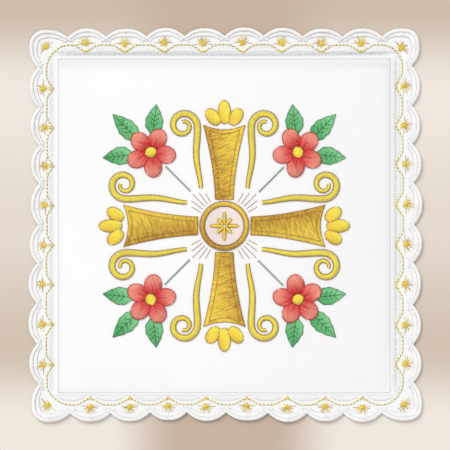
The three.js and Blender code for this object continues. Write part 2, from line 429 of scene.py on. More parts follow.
def new_piece(name, part, material):
    """A mesh object on the root body from points in millimetres, rows of three point numbers and four thread
    values at each point."""
    points, faces, thread = part
    mesh = bpy.data.meshes.new(name)
    mesh.vertices.add(len(points))
    mesh.vertices.foreach_set("co", (points * MM).astype(np.float32).ravel())
    mesh.loops.add(faces.size)
    mesh.loops.foreach_set("vertex_index", faces.astype(np.int32).ravel())
    mesh.polygons.add(len(faces))
    mesh.polygons.foreach_set("loop_start", np.arange(0, faces.size, 3, dtype=np.int32))
    mesh.polygons.foreach_set("use_smooth", np.ones(len(faces), dtype=bool))
    values = mesh.attributes.new("thread", "FLOAT_COLOR", "POINT")
    values.data.foreach_set("color", thread.astype(np.float32).ravel())
    mesh.update(calc_edges=True)
    if mesh.validate():
        raise RuntimeError(f"{name} had faulty faces")
    mesh.materials.append(material)
    piece = bpy.data.objects.new(name, mesh)
    bpy.context.scene.collection.objects.link(piece)
    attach(piece, "root")
    return piece


def joined(parts):
    """Several meshes' points, faces and thread values as one, the faces counted on from mesh to mesh."""
    points, faces, values = zip(*parts)
    starts = np.cumsum([0] + [len(each) for each in points[:-1]])
    faces = [each + start for each, start in zip(faces, starts)]
    return np.concatenate(points), np.concatenate(faces), np.concatenate(values)


def split_quads(a, b, c, d):
    """Two triangles for each face of four corners, given as four arrays of point numbers in order."""
    a, b, c, d = (np.ravel(corner) for corner in (a, b, c, d))
    return np.concatenate([np.stack([a, b, c], axis=-1), np.stack([a, c, d], axis=-1)])


def thread_mesh(paths, headings, width, height, tone):
    """Closed three-sided threads along rows of path points. The first and last point of a row are its tips.
    At each point between stand a left foot and a right foot, half the width to the sides, and a ridge at the
    height, square to the path. Both swell from the tips to the middle. The thread values are the tone, one
    for a thread or one for each path point, the share of the way along, the way round and the centimetres
    along."""
    count, steps, _ = paths.shape
    side = np.stack([headings[:, 1], -headings[:, 0], np.zeros(count)], axis=-1)[:, None, :]
    up = np.cross(side, np.gradient(paths, axis=1))
    up /= np.linalg.norm(up, axis=-1, keepdims=True)
    share = np.linspace(0, 1, steps)
    swell = (np.sin(np.pi * share) ** 0.3)[None, 1:-1, None]
    inside = paths[:, 1:-1]
    half = side * np.reshape(width, (-1, 1, 1)) / 2 * swell
    ridge = up[:, 1:-1] * np.reshape(height, (-1, 1, 1)) * swell
    rings = np.stack([inside - half, inside + ridge, inside + half], axis=2).reshape(count, -1, 3)
    points = np.concatenate([rings, paths[:, :1], paths[:, -1:]], axis=1)
    size_of_one = points.shape[1]
    a = np.arange(3)
    b = (a + 1) % 3
    start, stop = size_of_one - 2, size_of_one - 1
    last = 3 * (steps - 3)
    template = [
        np.stack([np.full(3, start), b, a], axis=-1),
        np.stack([a + last, b + last, np.full(3, stop)], axis=-1),
    ]
    for ring in range(0, last, 3):
        template.append(split_quads(a + ring, b + ring, b + ring + 3, a + ring + 3))
    template = np.concatenate(template)
    faces = (template[None] + np.arange(count)[:, None, None] * size_of_one).reshape(-1, 3)
    along = np.concatenate([np.repeat(share[1:-1], 3), [0, 1]])
    around = np.concatenate([np.tile([0, 0.5, 1], steps - 2), [0.5, 0.5]])
    lengths = np.linalg.norm(paths[:, -1] - paths[:, 0], axis=-1) / 10
    values = np.empty((count, size_of_one, 4))
    tone = np.broadcast_to(np.reshape(tone, (count, -1)), (count, steps))
    values[..., 0] = np.concatenate([np.repeat(tone[:, 1:-1], 3, axis=1), tone[:, :1], tone[:, -1:]], axis=1)
    values[..., 1] = along
    values[..., 2] = around
    values[..., 3] = lengths[:, None] * along
    return points.reshape(-1, 3), faces, values.reshape(-1, 4)


def laid(starts, stops, ground, look, tone, steps=6, tip=None):
    """Threads laid straight from starts to stops over a ground. Their height over it is the look's lift and
    an arch that is the square root of a sine, and the tips sink into the cloth. Where a tip is given, the
    threads are blunt: they reach their width that share of the way in."""
    share = np.linspace(0, 1, steps)[None, :, None]
    if tip:
        share[0, [1, -2], 0] = tip, 1 - tip
    flat = starts[:, None] + (stops - starts)[:, None] * share
    rise = look["lift"] + look["arch"] * np.sqrt(np.sin(np.pi * share[..., 0]))
    rise[:, [0, -1]] -= look["sink"]
    z = ground(flat[..., 0], flat[..., 1]) + rise
    heading = stops - starts
    heading /= np.linalg.norm(heading, axis=1, keepdims=True)
    paths = np.concatenate([flat, z[..., None]], axis=-1)
    if callable(tone):
        tone = tone(flat[..., 0], flat[..., 1])
    return thread_mesh(paths, heading, look["width"], look["height"], tone)


def thread_look(width=1.0, height=0.45, lift=0.0, arch=0.06, sink=0.12):
    """How a row of threads lies, its width and height given as shares of the thread's width."""
    thread = size("thread")
    return {"width": thread * width, "height": thread * height, "lift": lift, "arch": arch, "sink": sink}


def feed(node, inputs):
    """Gives each input of a node, by name or number, its value, or joins it to a socket."""
    for key, value in inputs.items():
        if isinstance(value, bpy.types.NodeSocket):
            node.id_data.links.new(value, node.inputs[key])
        else:
            node.inputs[key].default_value = value


def add_node(tree, kind, inputs=None, **settings):
    """A node with its settings and its inputs."""
    node = tree.nodes.new(kind)
    for name, value in settings.items():
        setattr(node, name, value)
    feed(node, inputs or {})
    return node


def math_node(tree, operation, *values):
    """The output of a Math node."""
    return add_node(tree, "ShaderNodeMath", dict(enumerate(values)), operation=operation).outputs[0]


def new_group(name, inputs, outputs):
    """An empty shader node group with its sockets, and its input and output nodes."""
    group = bpy.data.node_groups.new(name, "ShaderNodeTree")
    for label, kind, default in inputs:
        group.interface.new_socket(label, in_out="INPUT", socket_type=kind).default_value = default
    for label in outputs:
        group.interface.new_socket(label, in_out="OUTPUT", socket_type="NodeSocketFloat")
    return group, group.nodes.new("NodeGroupInput"), group.nodes.new("NodeGroupOutput")


def weave_group():
    """Plain weave: the product of a sine across the warp and one across the weft gives the crossings, and
    two drawn-out noises give the threads' thick and thin places. Made once."""
    made = bpy.data.node_groups.get("Plain weave")
    if made:
        return made
    sockets = [("Threads per metre", "NodeSocketFloat", 2200.0), ("Slub", "NodeSocketFloat", 0.5)]
    group, given, result = new_group("Plain weave", sockets, ["Height", "Shade"])

    def do(operation, *values):
        return math_node(group, operation, *values)

    place = add_node(group, "ShaderNodeTexCoord").outputs["Object"]
    parts = add_node(group, "ShaderNodeSeparateXYZ", {0: place})
    turns = do("MULTIPLY", given.outputs[0], np.pi)
    waves = [do("SINE", do("MULTIPLY", parts.outputs[axis], turns)) for axis in (0, 1)]
    slubs = []
    for stretch in ((1400.0, 90.0, 1.0), (90.0, 1400.0, 1.0)):
        drawn = add_node(group, "ShaderNodeMapping", {"Vector": place, "Scale": stretch}).outputs[0]
        noise = add_node(group, "ShaderNodeTexNoise", {"Vector": drawn, "Scale": 1.0, "Detail": 1.0})
        slubs.append(noise.outputs["Fac"])
    slub = do("SUBTRACT", do("ADD", *slubs), 1.0)
    ribbed = do("MULTIPLY_ADD", do("MULTIPLY", *waves), 0.3, 0.5)
    slow = add_node(group, "ShaderNodeTexNoise", {"Vector": place, "Scale": 22.0, "Detail": 3.0})
    shade = do("ADD", do("MULTIPLY", slow.outputs["Fac"], 0.6), do("MULTIPLY", slub, 0.6))
    feed(result, {"Height": do("ADD", ribbed, do("MULTIPLY", slub, given.outputs[1])), "Shade": shade})
    return group


def twist_group():
    """A twisted thread: a slanted wave over the way along and the way round gives its plies, and painted
    shade darkens its tone towards its ends, where it sinks into the cloth. Made once."""
    made = bpy.data.node_groups.get("Thread twist")
    if made:
        return made
    # The second socket sets how much painted shade darkens a stitch's ends.
    sockets = [("Turns per centimetre", "NodeSocketFloat", 26.0), ("Dip", "NodeSocketFloat", 0.4)]
    group, given, result = new_group("Thread twist", sockets, ["Tone", "Height"])

    def do(operation, *values):
        return math_node(group, operation, *values)

    values = add_node(group, "ShaderNodeAttribute", attribute_name="thread")
    parts = add_node(group, "ShaderNodeSeparateXYZ", {0: values.outputs["Color"]})
    slant = do("ADD", do("MULTIPLY", values.outputs["Alpha"], given.outputs[0]), parts.outputs[2])
    wave = do("SINE", do("MULTIPLY", slant, 2 * np.pi))
    centred = do("ABSOLUTE", do("MULTIPLY_ADD", parts.outputs[1], 2.0, -1.0))
    # Painted shade: the tone darkens towards both ends of each stitch.
    ends = do("MULTIPLY", do("POWER", centred, 4.0), given.outputs[1])
    feed(result, {"Tone": do("ADD", parts.outputs[0], ends), "Height": do("MULTIPLY_ADD", wave, 0.5, 0.5)})
    return group


def new_material(name):
    """A material with a Principled shader, its tree and the shader node."""
    material = bpy.data.materials.new(name)
    material.use_nodes = True
    return material, material.node_tree, material.node_tree.nodes["Principled BSDF"]


def darker(shade, share):
    """A colour with each channel brought down to a share of itself."""
    return tuple(channel * share for channel in shade[:3]) + (1.0,)


def mixed(tree, factor, first, second):
    """The output of a Mix node between two colours."""
    inputs = {"Factor": factor, 6: first, 7: second}
    return add_node(tree, "ShaderNodeMix", inputs, data_type="RGBA").outputs[2]


def cloth_material(name, light, threads, slub, relief, painted_shade_colour):
    """White cloth: the weave group varies its tone a little and raises its threads, and the mesh's first
    thread value darkens it towards a colour of painted shade."""
    material, tree, shader = new_material(name)
    weave = add_node(tree, "ShaderNodeGroup", {0: threads, 1: slub}, node_tree=weave_group())
    woven = mixed(tree, weave.outputs["Shade"], light, darker(light, 0.93))
    values = add_node(tree, "ShaderNodeAttribute", attribute_name="thread")
    # The first thread value: how much painted shade darkens the cloth.
    depth = add_node(tree, "ShaderNodeSeparateXYZ", {0: values.outputs["Color"]}).outputs[0]
    raising = {"Height": weave.outputs["Height"], "Distance": relief, "Strength": 0.7}
    feed(shader, {
        "Base Color": mixed(tree, depth, woven, painted_shade_colour),
        "Normal": add_node(tree, "ShaderNodeBump", raising).outputs[0],
        "Roughness": 0.85,
        "Specular IOR Level": 0.25,
        "Sheen Weight": 0.15,
    })
    return material


def thread_material(name, light, dark, roughness=0.42, painted_end_shade=0.3, metallic=0.0, relief=0.6):
    """Rayon embroidery thread: the twist group's tone mixes its light and dark colours, and its plies are
    raised. The stitches' ends are darkened by painted shade, by the given amount."""
    material, tree, shader = new_material(name)
    twist = add_node(tree, "ShaderNodeGroup", {1: painted_end_shade}, node_tree=twist_group())
    raising = {"Height": twist.outputs["Height"], "Distance": 0.00004, "Strength": relief}
    feed(shader, {
        "Base Color": mixed(tree, twist.outputs["Tone"], light, dark),
        "Normal": add_node(tree, "ShaderNodeBump", raising).outputs[0],
        "Roughness": roughness,
        "Specular IOR Level": 0.5,
        "Metallic": metallic,
        "Sheen Weight": 0.1,
    })
    return material


def panel_lines(half):
    """Places of grid lines across the square: close in the rounded corners and evenly apart between."""
    inside = half - PANEL_CORNER
    corner = np.linspace(inside, half, 5)[1:]
    return np.concatenate([-corner[::-1], np.linspace(-inside, inside, 119), corner])


def rounded(x, y, half, inset):
    """Grid places with each corner zone squeezed from a square to a quarter disc, drawn in to an inset."""
    inside = half - PANEL_CORNER
    zone_x = np.abs(x) - inside[0]
    zone_y = np.abs(y) - inside[1]
    in_corner = np.minimum(zone_x, zone_y) > 0
    squeeze = np.maximum(zone_x, zone_y) / np.maximum(np.hypot(zone_x, zone_y), 1e-9)
    rounded_x = np.where(in_corner, np.sign(x) * (inside[0] + zone_x * squeeze), x)
    rounded_y = np.where(in_corner, np.sign(y) * (inside[1] + zone_y * squeeze), y)
    return rounded_x * (1 - inset / half[0]), rounded_y * (1 - inset / half[1])


def grid_faces(rows, columns):
    """Two triangles for each cell of a grid of points stored row by row, facing up."""
    a = np.arange(rows - 1)[:, None] * columns + np.arange(columns - 1)
    return split_quads(a, a + 1, a + columns + 1, a + columns)


def band_faces(above, below):
    """Two triangles for each step between two loops of as many points, the first above the second."""
    return split_quads(above, below, np.roll(below, -1), np.roll(above, -1))


def panel_mesh():
    """The linen square: a crowned grid on top, loops down its rounded rim to a straight foot, and the same
    grid flat underneath. The first thread value is how much painted shade darkens the linen: strips along
    the top and right seams, more towards the right, and its rim beside the seam, by side."""
    middle, half = panel_frame()
    xs, ys = panel_lines(half[0]), panel_lines(half[1])
    columns, rows = len(xs), len(ys)
    x, y = (grid.ravel() for grid in np.meshgrid(xs, ys))
    top_x, top_y = rounded(x, y, half, 1.6)
    top_z = panel_top(x + middle[0], y + middle[1])
    under_x, under_y = rounded(x, y, half, 0.15)
    grid = np.arange(rows * columns).reshape(rows, columns)
    rim = np.concatenate([grid[0, :-1], grid[:-1, -1], grid[-1, :0:-1], grid[:0:-1, 0]])
    points = [np.stack([top_x, top_y, top_z], axis=-1)]
    faces = [grid_faces(rows, columns)]
    above = rim
    count = rows * columns
    loops = [(inset, RIM_SEAM + (top_z[rim] - RIM_SEAM) * share) for inset, share in RIM_LOOPS]
    loops.append((0.0, np.full(len(rim), RIM_FOOT)))
    for inset, edge_z in loops:
        edge_x, edge_y = rounded(x[rim], y[rim], half, inset)
        points.append(np.stack([edge_x, edge_y, edge_z], axis=-1))
        below = np.arange(count, count + len(rim))
        faces.append(band_faces(above, below))
        above = below
        count += len(rim)
    points.append(np.stack([under_x, under_y, np.zeros_like(under_x)], axis=-1))
    faces.append(band_faces(above, rim + count))
    faces.append(grid_faces(rows, columns)[:, ::-1] + count)
    shifted = np.concatenate(points) + np.array([middle[0], middle[1], 0.0])
    values = np.zeros((len(shifted), 4))
    # Painted shade along the top and right seams.
    values[: len(x), 0] = painted_shade_on_linen(half[0] - x, half[1] - y)
    # Painted shade on the rim beside the seam, by side.
    rim_painted_shades = edge_value("rim_painted_shade", seam_side(x[rim], y[rim]))
    values[len(x) : -len(x), 0] = np.tile(rim_painted_shades, len(loops))
    return shifted, np.concatenate(faces), values


def painted_shade_on_linen(from_right, from_top):
    """How much painted shade darkens the linen: a narrow strip along the top seam and along the right one,
    each a bell curve, and a little more towards the right."""
    strips = 0.42 * np.exp(-((from_top / 2.6) ** 2)) + 0.15 * np.exp(-((from_right / 1.8) ** 2))
    return strips + 0.2 * np.clip(1 - from_right / 90, 0, 1)


def seam_distance(x, y):
    """How far places lie out from the opening: the sixth-power mean of the two sides' distances, so that the
    seam turns its corners almost square, with a slow waver."""
    middle, half = panel_frame()
    away = np.stack([np.abs(x - middle[0]) - half[0], np.abs(y - middle[1]) - half[1]]) - SEAM_GAP
    waver = 0.14 * np.sin(x / 17.0 + 0.9 * np.sin(y / 11.0)) + 0.1 * np.sin(y / 14.0 - x / 29.0 + 1.9)
    outside = (np.maximum(away, 0) ** 6).sum(axis=0) ** (1 / 6)
    return np.where(outside > 0, outside, away.max(axis=0)) + waver * np.clip(outside / 0.6, 0, 1)


def seam_side(x, y):
    """The side that places are furthest out on."""
    return np.argmax(np.stack([y, x, -y, -x], axis=0), axis=0)


def hole_depth(x, y, side):
    """How deep the seam's holes are at places on a side: the side's own depth, less towards the corners,
    with streaks along the side a stitch or two apart."""
    along = np.where(side % 2 == 0, x, y)
    streaks = 0.8 + 0.2 * np.sin(along * 3.4 + 2 * np.sin(along / 2.3)) * np.sin(along / 6.1 + side)
    return edge_value("holes", side) * streaks * np.clip((78 - np.abs(along)) / 8, 0, 1)


def seam_height(x, y):
    """Height over the cloth near the opening, and how much painted shade the seam gets there. The height is
    a groove under the row of stitches and a rolled ridge, each a squared sine, and a rise to the opening by
    a power of the way. The painted shade lies in the groove, by its depth, and over the ridge."""
    outward = seam_distance(x, y)
    side = seam_side(x, y)
    holes = hole_depth(x, y, side)
    rows = edge_value("row", side)
    share = (outward - rows[..., 0]) / (rows[..., 1] - rows[..., 0])
    groove = -0.19 * holes * bump(share) ** 0.7
    ridge = 0.1 * bump((outward + 0.35) / 1.6) + 0.22 * np.clip(1 - outward / 1.2, 0, 1) ** 1.5
    ridge_painted_shade = edge_value("ridge_painted_shade", side) * bump((outward + 0.9) / 2.2)
    # Painted shade: in the groove by its depth, and over the ridge.
    return groove + ridge, holes * bump(share) ** 0.5 + ridge_painted_shade


def border_section(flat, inward, crown, lift):
    """Heights of the border's top at flat places that lie inward of the edge, and how much painted shade the
    seam gets there: cloth of an even height with a padded edge, a padding under the inner crescents, each a
    squared sine, and the seam. The tip lifts with the crown."""
    x, y = flat[..., 0], flat[..., 1]
    outward = seam_distance(x, y)
    satin = pad_width(crown)[:, None]
    tip = TIP_LIFT["most"] * (lift * crown)[:, None]
    padded = 0.03 * bump((inward + 0.6) / (satin + 0.6))
    crescent = 0.05 * np.sqrt(1 - crown)[:, None] * bump((outward - 2.6) / 3.8)
    lifted = tip * np.clip(1 - inward / satin, 0, 1)
    seam, seam_painted_shade = seam_height(x, y)
    return size("cloth") + padded + crescent + lifted + seam, seam_painted_shade


def border_mesh():
    """The border's cloth: its section carried round the ring of stations, the last joined to the first. Each
    point lies on the line from the outer edge to the opening. The section runs in over the top, down at the
    opening, back under the cloth and up at the edge. The first thread value is how much painted shade
    darkens the seam."""
    lobes = all_lobes(26)
    outer, inner, crown, lift = (
        np.concatenate([lobe[key][:-1] for lobe in lobes]) for key in ("outer", "inner", "crown", "lift")
    )
    across = np.linalg.norm(inner - outer, axis=1)
    direction = ((inner - outer) / across[:, None])[:, None]
    cloth = size("cloth")
    satin = pad_width(crown)
    tip = TIP_LIFT["most"] * lift * crown
    level = np.zeros_like(across)
    inward = np.linspace(0, 1, 58)[None, :] * (across - 0.2)[:, None] + 0.2
    flat = outer[:, None] + direction * inward[..., None]
    top, seam_painted_shade = border_section(flat, inward, crown, lift)
    top = top + border_drape(flat[..., 0], flat[..., 1])
    lip = across + SEAM_GAP - 0.06
    under_in = np.stack([lip, lip, lip, across * 0.6, satin, satin * 0.5, level + 0.25, level + 0.12])
    at_lip = [level + cloth * 1.24, level + cloth, level]
    under_z = np.stack([*at_lip, level, level, tip * 0.5 + 0.08, tip + 0.15, tip + cloth * 0.6])
    under_flat = outer[:, None] + direction * under_in.T[..., None]
    flat = np.concatenate([flat, under_flat], axis=1)
    z = np.concatenate([top, under_z.T], axis=1)
    count, loop = z.shape
    here = np.arange(count)[:, None] * loop + np.arange(loop)
    ahead = np.roll(here, -1, axis=0)
    faces = split_quads(here, np.roll(here, -1, axis=1), np.roll(ahead, -1, axis=1), ahead)
    points = np.concatenate([flat, z[..., None]], axis=-1).reshape(-1, 3)
    values = np.zeros((count, loop, 4))
    # The seam's painted shade.
    values[:, : seam_painted_shade.shape[1], 0] = seam_painted_shade
    return points, faces, values.reshape(-1, 4)


def edge_band(lobe, odd, rng):
    """The two rows of satin on one scallop's edge. The outline runs on past both valleys, where the row
    narrows and crosses its neighbour's. The outer row wraps up over the edge as a roll, and the inner row
    starts under it and falls evenly, with a low swell. Each stitch is square to the outline."""
    tail = 2.9
    tail_points = 28
    outline, crown, lift = resampled(lobe["outer"], 0.1, lobe["crown"], lobe["lift"])
    head = directions(outline)
    steps = np.linspace(tail, 0.1, tail_points)[:, None]
    line = np.concatenate([outline[0] - head[0] * steps, outline, outline[-1] + head[-1] * steps[::-1]])
    past = np.concatenate([steps[:, 0], np.zeros(len(outline)), steps[::-1, 0]])
    crown = np.pad(crown, tail_points)
    lift = np.pad(lift, tail_points, mode="edge")
    line, past, crown, lift = resampled(line, size("satin_pitch"), past, crown, lift)
    head = directions(line)
    inward = -left_of(head)
    cloth = size("cloth")
    tip = (TIP_LIFT["most"] * lift * crown)[:, None]
    inside = np.clip(past / 0.6, 0, 1)[:, None]
    roll = size("edge_roll")
    width = 2.4 + (size("edge_satin") - 2.4) * np.sqrt(np.clip(crown, 0, 1))
    width = width * (1 - 0.24 * past)
    jitter = rng.uniform(-0.15, 0.15, (len(line), 1))
    over = (0.06 * odd + 0.02) * (1 - past / tail)[:, None]
    wrapped_in = np.array([[0.14, 0.0, 0.02, 0.2, 0.5, 0.9, 1.3, 1.6]]) / 1.6 * roll
    wrapped_z = np.array([[0.3, 0.55, 0.95, 1.27, 1.4, 1.4, 1.36, 1.3]]) + tip
    flat_z = cloth + np.array([[0.0, 0.1, 0.16, 0.2, 0.22, 0.21, 0.19, 0.14]])
    outer_z = wrapped_z * (1 - inside) + flat_z * inside + over
    outer_in = wrapped_in * np.minimum(width[:, None] * 0.6 / roll, 1.0)
    share = np.linspace(0, 1, 7)[None, :]
    inner_start = outer_in[:, -1:] - 0.9
    inner_in = inner_start + (width[:, None] + jitter - inner_start) * share
    fall = tip * np.clip(1 - inner_in / width[:, None], 0, 1)
    sunk = (1 - 0.7 * past / tail)[:, None]
    inner_z = cloth + 0.12 - 0.06 * share + 0.05 * bump((share - 0.2) / 0.9) * sunk + fall + over * 0.8
    rows = []
    for away, z, high in ((outer_in, outer_z, 0.16), (inner_in, inner_z, 0.1)):
        flat = line[:, None] + inward[:, None] * away[..., None]
        z = z + border_drape(flat[..., 0], flat[..., 1])
        paths = np.concatenate([flat, z[..., None]], axis=-1)
        tone = rng.uniform(0, 1, len(line))
        rows.append(thread_mesh(paths, inward, size("thread") * 1.2, size("thread") * high, tone))
    return rows


def edge_satin_mesh():
    """The satin edges of all the scallops, every second one a little over its neighbours."""
    rng = np.random.default_rng(11)
    parts = []
    for number, lobe in enumerate(all_lobes(30)):
        parts += edge_band(lobe, number % 2, rng)
    return joined(parts)


def crown_places(side):
    """How far along a side its own stars lie: half way between the valleys, and a little past."""
    valleys = np.array([valley_place(side, index) for index in range(SIDE_LOBES + 1)])
    return (valleys[:-1] + valleys[1:]) / 2 + edge_value("star_along", side)


def wave_crest(side, index):
    """How far out the wave's crest lies opposite a valley: in from the crowns, two fifths by the mean of
    those beside it and three fifths by the mean of the whole side."""
    drawn = edge_value("drawn_in", side)
    crowns = size("overall") / 2 - 0.4 * drawn[index : index + 2].mean() - 0.6 * drawn.mean()
    return crowns - edge_value("wave_in", side)


def wave_cusp(side):
    """How far out the wave's cusps lie, in from each star."""
    return opening_reach(side) + edge_value("cusp", side)


def wave_rise(side, share):
    """The wave's rise between two cusps, from 0 to 1: level over the valley, and down to each cusp by a
    power of the way between the side's two shares."""
    first, last = edge_value("fall", side)
    return 1 - np.clip((np.abs(2 * share - 1) - first) / (last - first), 0, 1) ** 1.2


def side_wave(side):
    """The gold wave along a side, from its first star's cusp to its last."""
    crowns = crown_places(side)
    share = np.linspace(0, 1, 41)[:-1]
    rise = wave_rise(side, share)
    runs = []
    for index in range(SIDE_LOBES - 1):
        along = crowns[index] + (crowns[index + 1] - crowns[index]) * share
        out = wave_cusp(side) + (wave_crest(side, index + 1) - wave_cusp(side)) * rise
        runs.append(side_point(side, along, out))
    runs.append(side_point(side, crowns[-1:], np.array([wave_cusp(side)])))
    return np.concatenate(runs)


def corner_wave(side):
    """The wave round the corner after a side: half an arch up to the crest, a cubic curve round the corner
    and half an arch down."""
    following = (side + 1) % 4
    crest_out = wave_crest(side, SIDE_LOBES)
    crest_along = wave_crest(following, 0)
    last, first = crown_places(side)[-1], crown_places(following)[0]
    start, stop = valley_place(side, SIDE_LOBES), -valley_place(following, 0)
    share = np.linspace(0, 1, 25)
    up_along = last + (start - last) * share
    up_out = wave_cusp(side) + (crest_out - wave_cusp(side)) * wave_rise(side, share / 2)
    fall = wave_rise(following, (1 + share) / 2)
    down_along = wave_cusp(following) + (crest_along - wave_cusp(following)) * fall
    down_out = stop + (-first - stop) * share
    pull = 4.8
    before = [[start, crest_out], [start + pull, crest_out]]
    after = [[crest_along, stop + pull], [crest_along, stop]]
    back = 1 - share
    weights = np.stack([back**3, 3 * share * back**2, 3 * share**2 * back, share**3], axis=-1)
    curve = weights @ np.array(before + after)
    along = np.concatenate([up_along[:-1], curve[:, 0], down_along[1:]])
    out = np.concatenate([up_out[:-1], curve[:, 1], down_out[1:]])
    return side_point(side, along, out)


def inner_satin_mesh():
    """The white crescents inside the wave: stitches square to the side, from a little inside the wave to a
    straight line along the seam, left out where they would be too short."""
    rng = np.random.default_rng(12)
    starts, stops = [], []
    for side in range(4):
        before, after = corner_wave((side - 1) % 4), corner_wave(side)
        wave = np.concatenate([before[len(before) // 2 :], side_wave(side), after[: len(before) // 2]])
        back = side_point((4 - side) % 4, wave[:, 0], wave[:, 1])
        order = np.argsort(back[:, 0])
        low, high = back[:, 0].min(), back[:, 0].max()
        along = np.arange(low, high, size("satin_pitch"))
        out = np.interp(along, back[order, 0], back[order, 1]) - edge_value("crescent", side)
        foot = opening_reach(side) + edge_value("row", side)[1] - 0.1
        kept = (out - foot > 0.4) & (np.abs(along) < opening_reach((side + 1) % 4) + 2.2)
        along, out = along[kept], out[kept]
        uneven = rng.uniform(-0.15, 0.15, (2, len(along)))
        starts.append(side_point(side, along, out + uneven[0]))
        stops.append(side_point(side, along, np.full_like(along, foot) + uneven[1]))
    starts, stops = np.concatenate(starts), np.concatenate(stops)
    look = thread_look(width=1.3, height=0.06, lift=0.03, arch=0.05, sink=0.06)
    return laid(starts, stops, border_ground, look, rng.uniform(0, 1, len(starts)))


def seam_ground(x, y):
    """The cloth of the border with the seam's groove and ridge."""
    return size("cloth") + seam_height(x, y)[0] + border_drape(x, y)


def seam_mesh():
    """The seam's fine stitches, square to each side from the crescents in over the groove, with gaps between
    them a little wider than the stitches, and one in ten missing. A shallow row has none."""
    rng = np.random.default_rng(13)
    starts, stops = [], []
    for side in range(4):
        if edge_value("holes", side) < 0.2:
            continue
        reach = opening_reach((side + 1) % 4)
        along = np.arange(-opening_reach((side + 3) % 4) + 1.2, reach - 1.2, 0.98)
        along = along[rng.uniform(0, 1, len(along)) > 0.1]
        uneven = rng.uniform(-0.16, 0.16, (3, len(along)))
        inner, outer = opening_reach(side) + edge_value("row", side)
        starts.append(side_point(side, along + uneven[0], outer + 0.15 + uneven[1]))
        stops.append(side_point(side, along + uneven[0] * 0.5, inner - 0.1 + uneven[2]))
    starts, stops = np.concatenate(starts), np.concatenate(stops)
    look = thread_look(width=0.95, height=0.3, lift=0.02, arch=0.03, sink=0.04)
    return laid(starts, stops, seam_ground, look, rng.uniform(0, 1, len(starts)), steps=9)


def star_centres():
    """The middle of each gold star: in from each crown, and on the diagonal lobes in from both crowns."""
    half = size("overall") / 2
    centres, turns = [], []
    for side in range(4):
        drawn = edge_value("drawn_in", side)[1:-1]
        centres.append(side_point(side, crown_places(side), half - drawn - edge_value("star_in", side)))
        turns.append(np.full(SIDE_LOBES, -side * np.pi / 2))
        lobe = CORNER_LOBES[side]
        centres.append(side_point(side, np.array([half - lobe["after"]]), np.array([half - lobe["before"]])))
        turns.append([-side * np.pi / 2 - np.pi / 4])
    return np.concatenate(centres), np.concatenate(turns)


def spokes(centres, angles, inner, outer):
    """Both ends of stitches that stand round each centre, from an inner to an outer distance at angles."""
    heading = ray(angles)
    middle = centres[:, None]
    inner, outer = np.broadcast_to(inner, angles.shape), np.broadcast_to(outer, angles.shape)
    starts, stops = middle + heading * inner[..., None], middle + heading * outer[..., None]
    return starts.reshape(-1, 2), stops.reshape(-1, 2)


